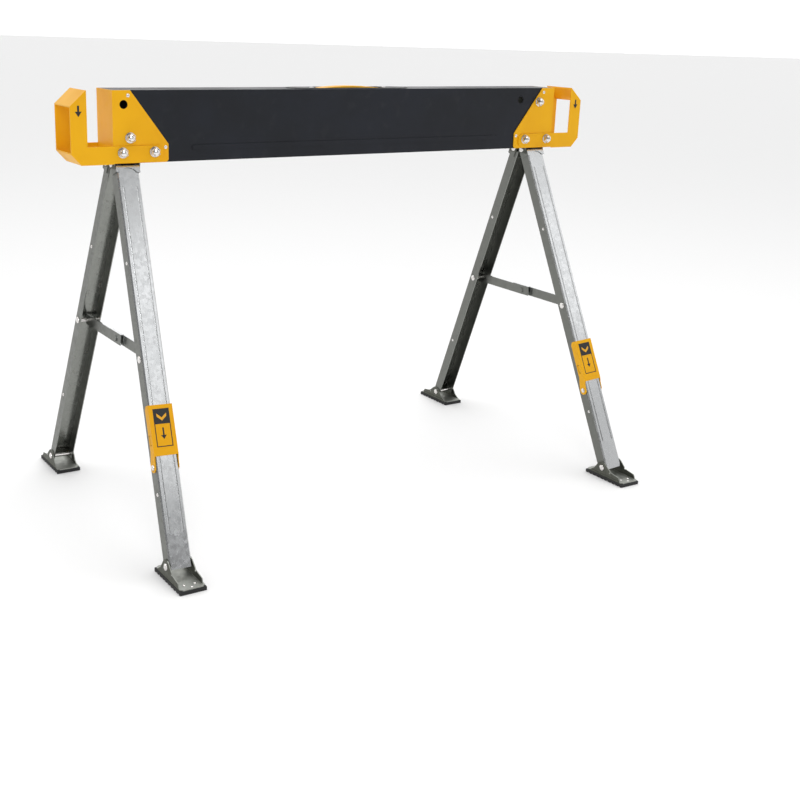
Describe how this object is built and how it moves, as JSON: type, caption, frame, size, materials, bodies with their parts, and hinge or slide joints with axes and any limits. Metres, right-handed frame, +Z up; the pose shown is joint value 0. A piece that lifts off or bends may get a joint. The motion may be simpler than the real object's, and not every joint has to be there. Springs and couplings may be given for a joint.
{
  "type": "folding sawhorse",
  "caption": "Folding sawhorse with a channel beam, board brackets at both ends, splayed folding legs with spreaders, swivel feet and a carrying grip.",
  "frame": {"origin": "on the floor plane, below the middle of the beam", "axes": "+X along the beam towards its right end, -Y towards the front (latch side), +Z up"},
  "size_m": [1.1524, 0.723, 0.8042],
  "materials": {
    "beam_shell": "black powder coat",
    "handle_insert": "moulded black plastic",
    "carry_grip": "yellow powder coat",
    "end_plate_left": "yellow powder coat",
    "board_bracket_left": "yellow powder coat",
    "pivot_bolt_left": "bright zinc plating",
    "stud_b_front_left": "bright zinc plating",
    "stud_b_rear_left": "bright zinc plating",
    "stud_c_front_left": "bright zinc plating",
    "stud_c_rear_left": "bright zinc plating",
    "end_plate_right": "yellow powder coat",
    "board_bracket_right": "yellow powder coat",
    "pivot_bolt_right": "bright zinc plating",
    "stud_b_front_right": "bright zinc plating",
    "stud_b_rear_right": "bright zinc plating",
    "stud_c_front_right": "bright zinc plating",
    "stud_c_rear_right": "bright zinc plating",
    "yoke_left": "galvanised sheet steel",
    "hinge_pin_front_left": "bright zinc plating",
    "hinge_pin_rear_left": "bright zinc plating",
    "lock_button_left": "bright zinc plating",
    "leg_front_left": "galvanised sheet steel",
    "leg_cap_front_left": "galvanised sheet steel",
    "link_pin_front_left": "bright zinc plating",
    "foot_pin_front_left": "bright zinc plating",
    "latch_pin_left": "bright zinc plating",
    "spreader_link_front_left": "galvanised sheet steel",
    "foot_shoe_front_left": "galvanised sheet steel",
    "foot_pad_front_left": "moulded rubber",
    "leg_rear_left": "galvanised sheet steel",
    "leg_cap_rear_left": "galvanised sheet steel",
    "link_pin_rear_left": "bright zinc plating",
    "foot_pin_rear_left": "bright zinc plating",
    "spreader_link_rear_left": "galvanised sheet steel",
    "stop_channel_left": "galvanised sheet steel",
    "foot_shoe_rear_left": "galvanised sheet steel",
    "foot_pad_rear_left": "moulded rubber",
    "latch_left": "yellow powder coat",
    "yoke_right": "galvanised sheet steel",
    "hinge_pin_front_right": "bright zinc plating",
    "hinge_pin_rear_right": "bright zinc plating",
    "lock_button_right": "bright zinc plating",
    "leg_front_right": "galvanised sheet steel",
    "leg_cap_front_right": "galvanised sheet steel",
    "link_pin_front_right": "bright zinc plating",
    "foot_pin_front_right": "bright zinc plating",
    "latch_pin_right": "bright zinc plating",
    "spreader_link_front_right": "galvanised sheet steel",
    "foot_shoe_front_right": "galvanised sheet steel",
    "foot_pad_front_right": "moulded rubber",
    "leg_rear_right": "galvanised sheet steel",
    "leg_cap_rear_right": "galvanised sheet steel",
    "link_pin_rear_right": "bright zinc plating",
    "foot_pin_rear_right": "bright zinc plating",
    "spreader_link_rear_right": "galvanised sheet steel",
    "stop_channel_right": "galvanised sheet steel",
    "foot_shoe_rear_right": "galvanised sheet steel",
    "foot_pad_rear_right": "moulded rubber",
    "latch_right": "yellow powder coat"
  },
  "bodies": {
    "beam": {"beam_shell": "beam_shell", "handle_insert": "handle_insert", "carry_grip": "carry_grip", "end_plate_left": "end_plate_left", "board_bracket_left": "board_bracket_left", "pivot_bolt_left": "pivot_bolt_left", "stud_b_front_left": "stud_b_front_left", "stud_b_rear_left": "stud_b_rear_left", "stud_c_front_left": "stud_c_front_left", "stud_c_rear_left": "stud_c_rear_left", "end_plate_right": "end_plate_right", "board_bracket_right": "board_bracket_right", "pivot_bolt_right": "pivot_bolt_right", "stud_b_front_right": "stud_b_front_right", "stud_b_rear_right": "stud_b_rear_right", "stud_c_front_right": "stud_c_front_right", "stud_c_rear_right": "stud_c_rear_right"},
    "yoke_set_left": {"yoke_left": "yoke_left", "hinge_pin_front_left": "hinge_pin_front_left", "hinge_pin_rear_left": "hinge_pin_rear_left"},
    "button_left": {"lock_button_left": "lock_button_left"},
    "leg_set_front_left": {"leg_front_left": "leg_front_left", "leg_cap_front_left": "leg_cap_front_left", "link_pin_front_left": "link_pin_front_left", "foot_pin_front_left": "foot_pin_front_left", "latch_pin_left": "latch_pin_left"},
    "link_front_left": {"spreader_link_front_left": "spreader_link_front_left"},
    "foot_front_left": {"foot_shoe_front_left": "foot_shoe_front_left", "foot_pad_front_left": "foot_pad_front_left"},
    "leg_set_rear_left": {"leg_rear_left": "leg_rear_left", "leg_cap_rear_left": "leg_cap_rear_left", "link_pin_rear_left": "link_pin_rear_left", "foot_pin_rear_left": "foot_pin_rear_left"},
    "link_rear_left": {"spreader_link_rear_left": "spreader_link_rear_left", "stop_channel_left": "stop_channel_left"},
    "foot_rear_left": {"foot_shoe_rear_left": "foot_shoe_rear_left", "foot_pad_rear_left": "foot_pad_rear_left"},
    "latch_set_left": {"latch_left": "latch_left"},
    "yoke_set_right": {"yoke_right": "yoke_right", "hinge_pin_front_right": "hinge_pin_front_right", "hinge_pin_rear_right": "hinge_pin_rear_right"},
    "button_right": {"lock_button_right": "lock_button_right"},
    "leg_set_front_right": {"leg_front_right": "leg_front_right", "leg_cap_front_right": "leg_cap_front_right", "link_pin_front_right": "link_pin_front_right", "foot_pin_front_right": "foot_pin_front_right", "latch_pin_right": "latch_pin_right"},
    "link_front_right": {"spreader_link_front_right": "spreader_link_front_right"},
    "foot_front_right": {"foot_shoe_front_right": "foot_shoe_front_right", "foot_pad_front_right": "foot_pad_front_right"},
    "leg_set_rear_right": {"leg_rear_right": "leg_rear_right", "leg_cap_rear_right": "leg_cap_rear_right", "link_pin_rear_right": "link_pin_rear_right", "foot_pin_rear_right": "foot_pin_rear_right"},
    "link_rear_right": {"spreader_link_rear_right": "spreader_link_rear_right", "stop_channel_right": "stop_channel_right"},
    "foot_rear_right": {"foot_shoe_rear_right": "foot_shoe_rear_right", "foot_pad_rear_right": "foot_pad_rear_right"},
    "latch_set_right": {"latch_right": "latch_right"}
  },
  "joints": [
    {"name": "leg_swing_left", "type": "hinge", "parent": "beam", "child": "yoke_set_left", "pos_m": [-0.4685, 0, 0.719], "axis": [0, -1, 0], "range_deg": [0, 27]},
    {"name": "button_press_left", "type": "slide", "parent": "yoke_set_left", "child": "button_left", "axis": [0, 1, 0], "range_m": [0, 0.005], "stiffness_N_per_m": 300},
    {"name": "leg_close_front_left", "type": "hinge", "parent": "yoke_set_left", "child": "leg_set_front_left", "pos_m": [-0.4709, -0.013, 0.67119], "axis": [0.9987, 0, -0.0501], "range_deg": [0, 20.65]},
    {"name": "link_fold_front_left", "type": "hinge", "parent": "leg_set_front_left", "child": "link_front_left", "pos_m": [-0.48693, -0.15451, 0.35145], "axis": [0.9987, 0, -0.0501], "range_deg": [0, 57.2]},
    {"name": "foot_swivel_front_left", "type": "hinge", "parent": "leg_set_front_left", "child": "foot_front_left", "pos_m": [-0.5033, -0.299, 0.025], "axis": [0.9987, 0, -0.0501], "range_deg": [-30, 68]},
    {"name": "leg_close_rear_left", "type": "hinge", "parent": "yoke_set_left", "child": "leg_set_rear_left", "pos_m": [-0.4709, 0.013, 0.67119], "axis": [0.9987, 0, -0.0501], "range_deg": [-20.65, 0]},
    {"name": "link_fold_rear_left", "type": "hinge", "parent": "leg_set_rear_left", "child": "link_rear_left", "pos_m": [-0.48693, 0.15451, 0.35145], "axis": [0.9987, 0, -0.0501], "range_deg": [-57.2, 0]},
    {"name": "foot_swivel_rear_left", "type": "hinge", "parent": "leg_set_rear_left", "child": "foot_rear_left", "pos_m": [-0.5033, 0.299, 0.025], "axis": [0.9987, 0, -0.0501], "range_deg": [-68, 30]},
    {"name": "latch_open_left", "type": "hinge", "parent": "leg_set_front_left", "child": "latch_set_left", "pos_m": [-0.4955, -0.23234, 0.18055], "axis": [0.9987, 0, -0.0501], "range_deg": [0, 30], "stiffness_Nm_per_rad": 0.2},
    {"name": "leg_swing_right", "type": "hinge", "parent": "beam", "child": "yoke_set_right", "pos_m": [0.4585, 0, 0.7713], "axis": [0, 1, 0], "range_deg": [0, 23.5]},
    {"name": "button_press_right", "type": "slide", "parent": "yoke_set_right", "child": "button_right", "axis": [0, 1, 0], "range_m": [0, 0.005], "stiffness_N_per_m": 300},
    {"name": "leg_close_front_right", "type": "hinge", "parent": "yoke_set_right", "child": "leg_set_front_right", "pos_m": [0.46453, -0.013, 0.67084], "axis": [0.9982, 0, 0.0599], "range_deg": [0, 20.65]},
    {"name": "link_fold_front_right", "type": "hinge", "parent": "leg_set_front_right", "child": "link_front_right", "pos_m": [0.48371, -0.15451, 0.35128], "axis": [0.9982, 0, 0.0599], "range_deg": [0, 57.2]},
    {"name": "foot_swivel_front_right", "type": "hinge", "parent": "leg_set_front_right", "child": "foot_front_right", "pos_m": [0.5033, -0.299, 0.025], "axis": [0.9982, 0, 0.0599], "range_deg": [-30, 68]},
    {"name": "leg_close_rear_right", "type": "hinge", "parent": "yoke_set_right", "child": "leg_set_rear_right", "pos_m": [0.46453, 0.013, 0.67084], "axis": [0.9982, 0, 0.0599], "range_deg": [-20.65, 0]},
    {"name": "link_fold_rear_right", "type": "hinge", "parent": "leg_set_rear_right", "child": "link_rear_right", "pos_m": [0.48371, 0.15451, 0.35128], "axis": [0.9982, 0, 0.0599], "range_deg": [-57.2, 0]},
    {"name": "foot_swivel_rear_right", "type": "hinge", "parent": "leg_set_rear_right", "child": "foot_rear_right", "pos_m": [0.5033, 0.299, 0.025], "axis": [0.9982, 0, 0.0599], "range_deg": [-68, 30]},
    {"name": "latch_open_right", "type": "hinge", "parent": "leg_set_front_right", "child": "latch_set_right", "pos_m": [0.49397, -0.23234, 0.18047], "axis": [0.9982, 0, 0.0599], "range_deg": [0, 30], "stiffness_Nm_per_rad": 0.2}
  ],
  "couplings": [
    {"joint": "link_fold_front_left", "follows": "leg_close_front_left", "ratio": 2.7701},
    {"joint": "leg_close_rear_left", "follows": "leg_close_front_left", "ratio": -1},
    {"joint": "link_fold_rear_left", "follows": "leg_close_front_left", "ratio": -2.7701},
    {"joint": "link_fold_front_right", "follows": "leg_close_front_right", "ratio": 2.7701},
    {"joint": "leg_close_rear_right", "follows": "leg_close_front_right", "ratio": -1},
    {"joint": "link_fold_rear_right", "follows": "leg_close_front_right", "ratio": -2.7701}
  ]
}
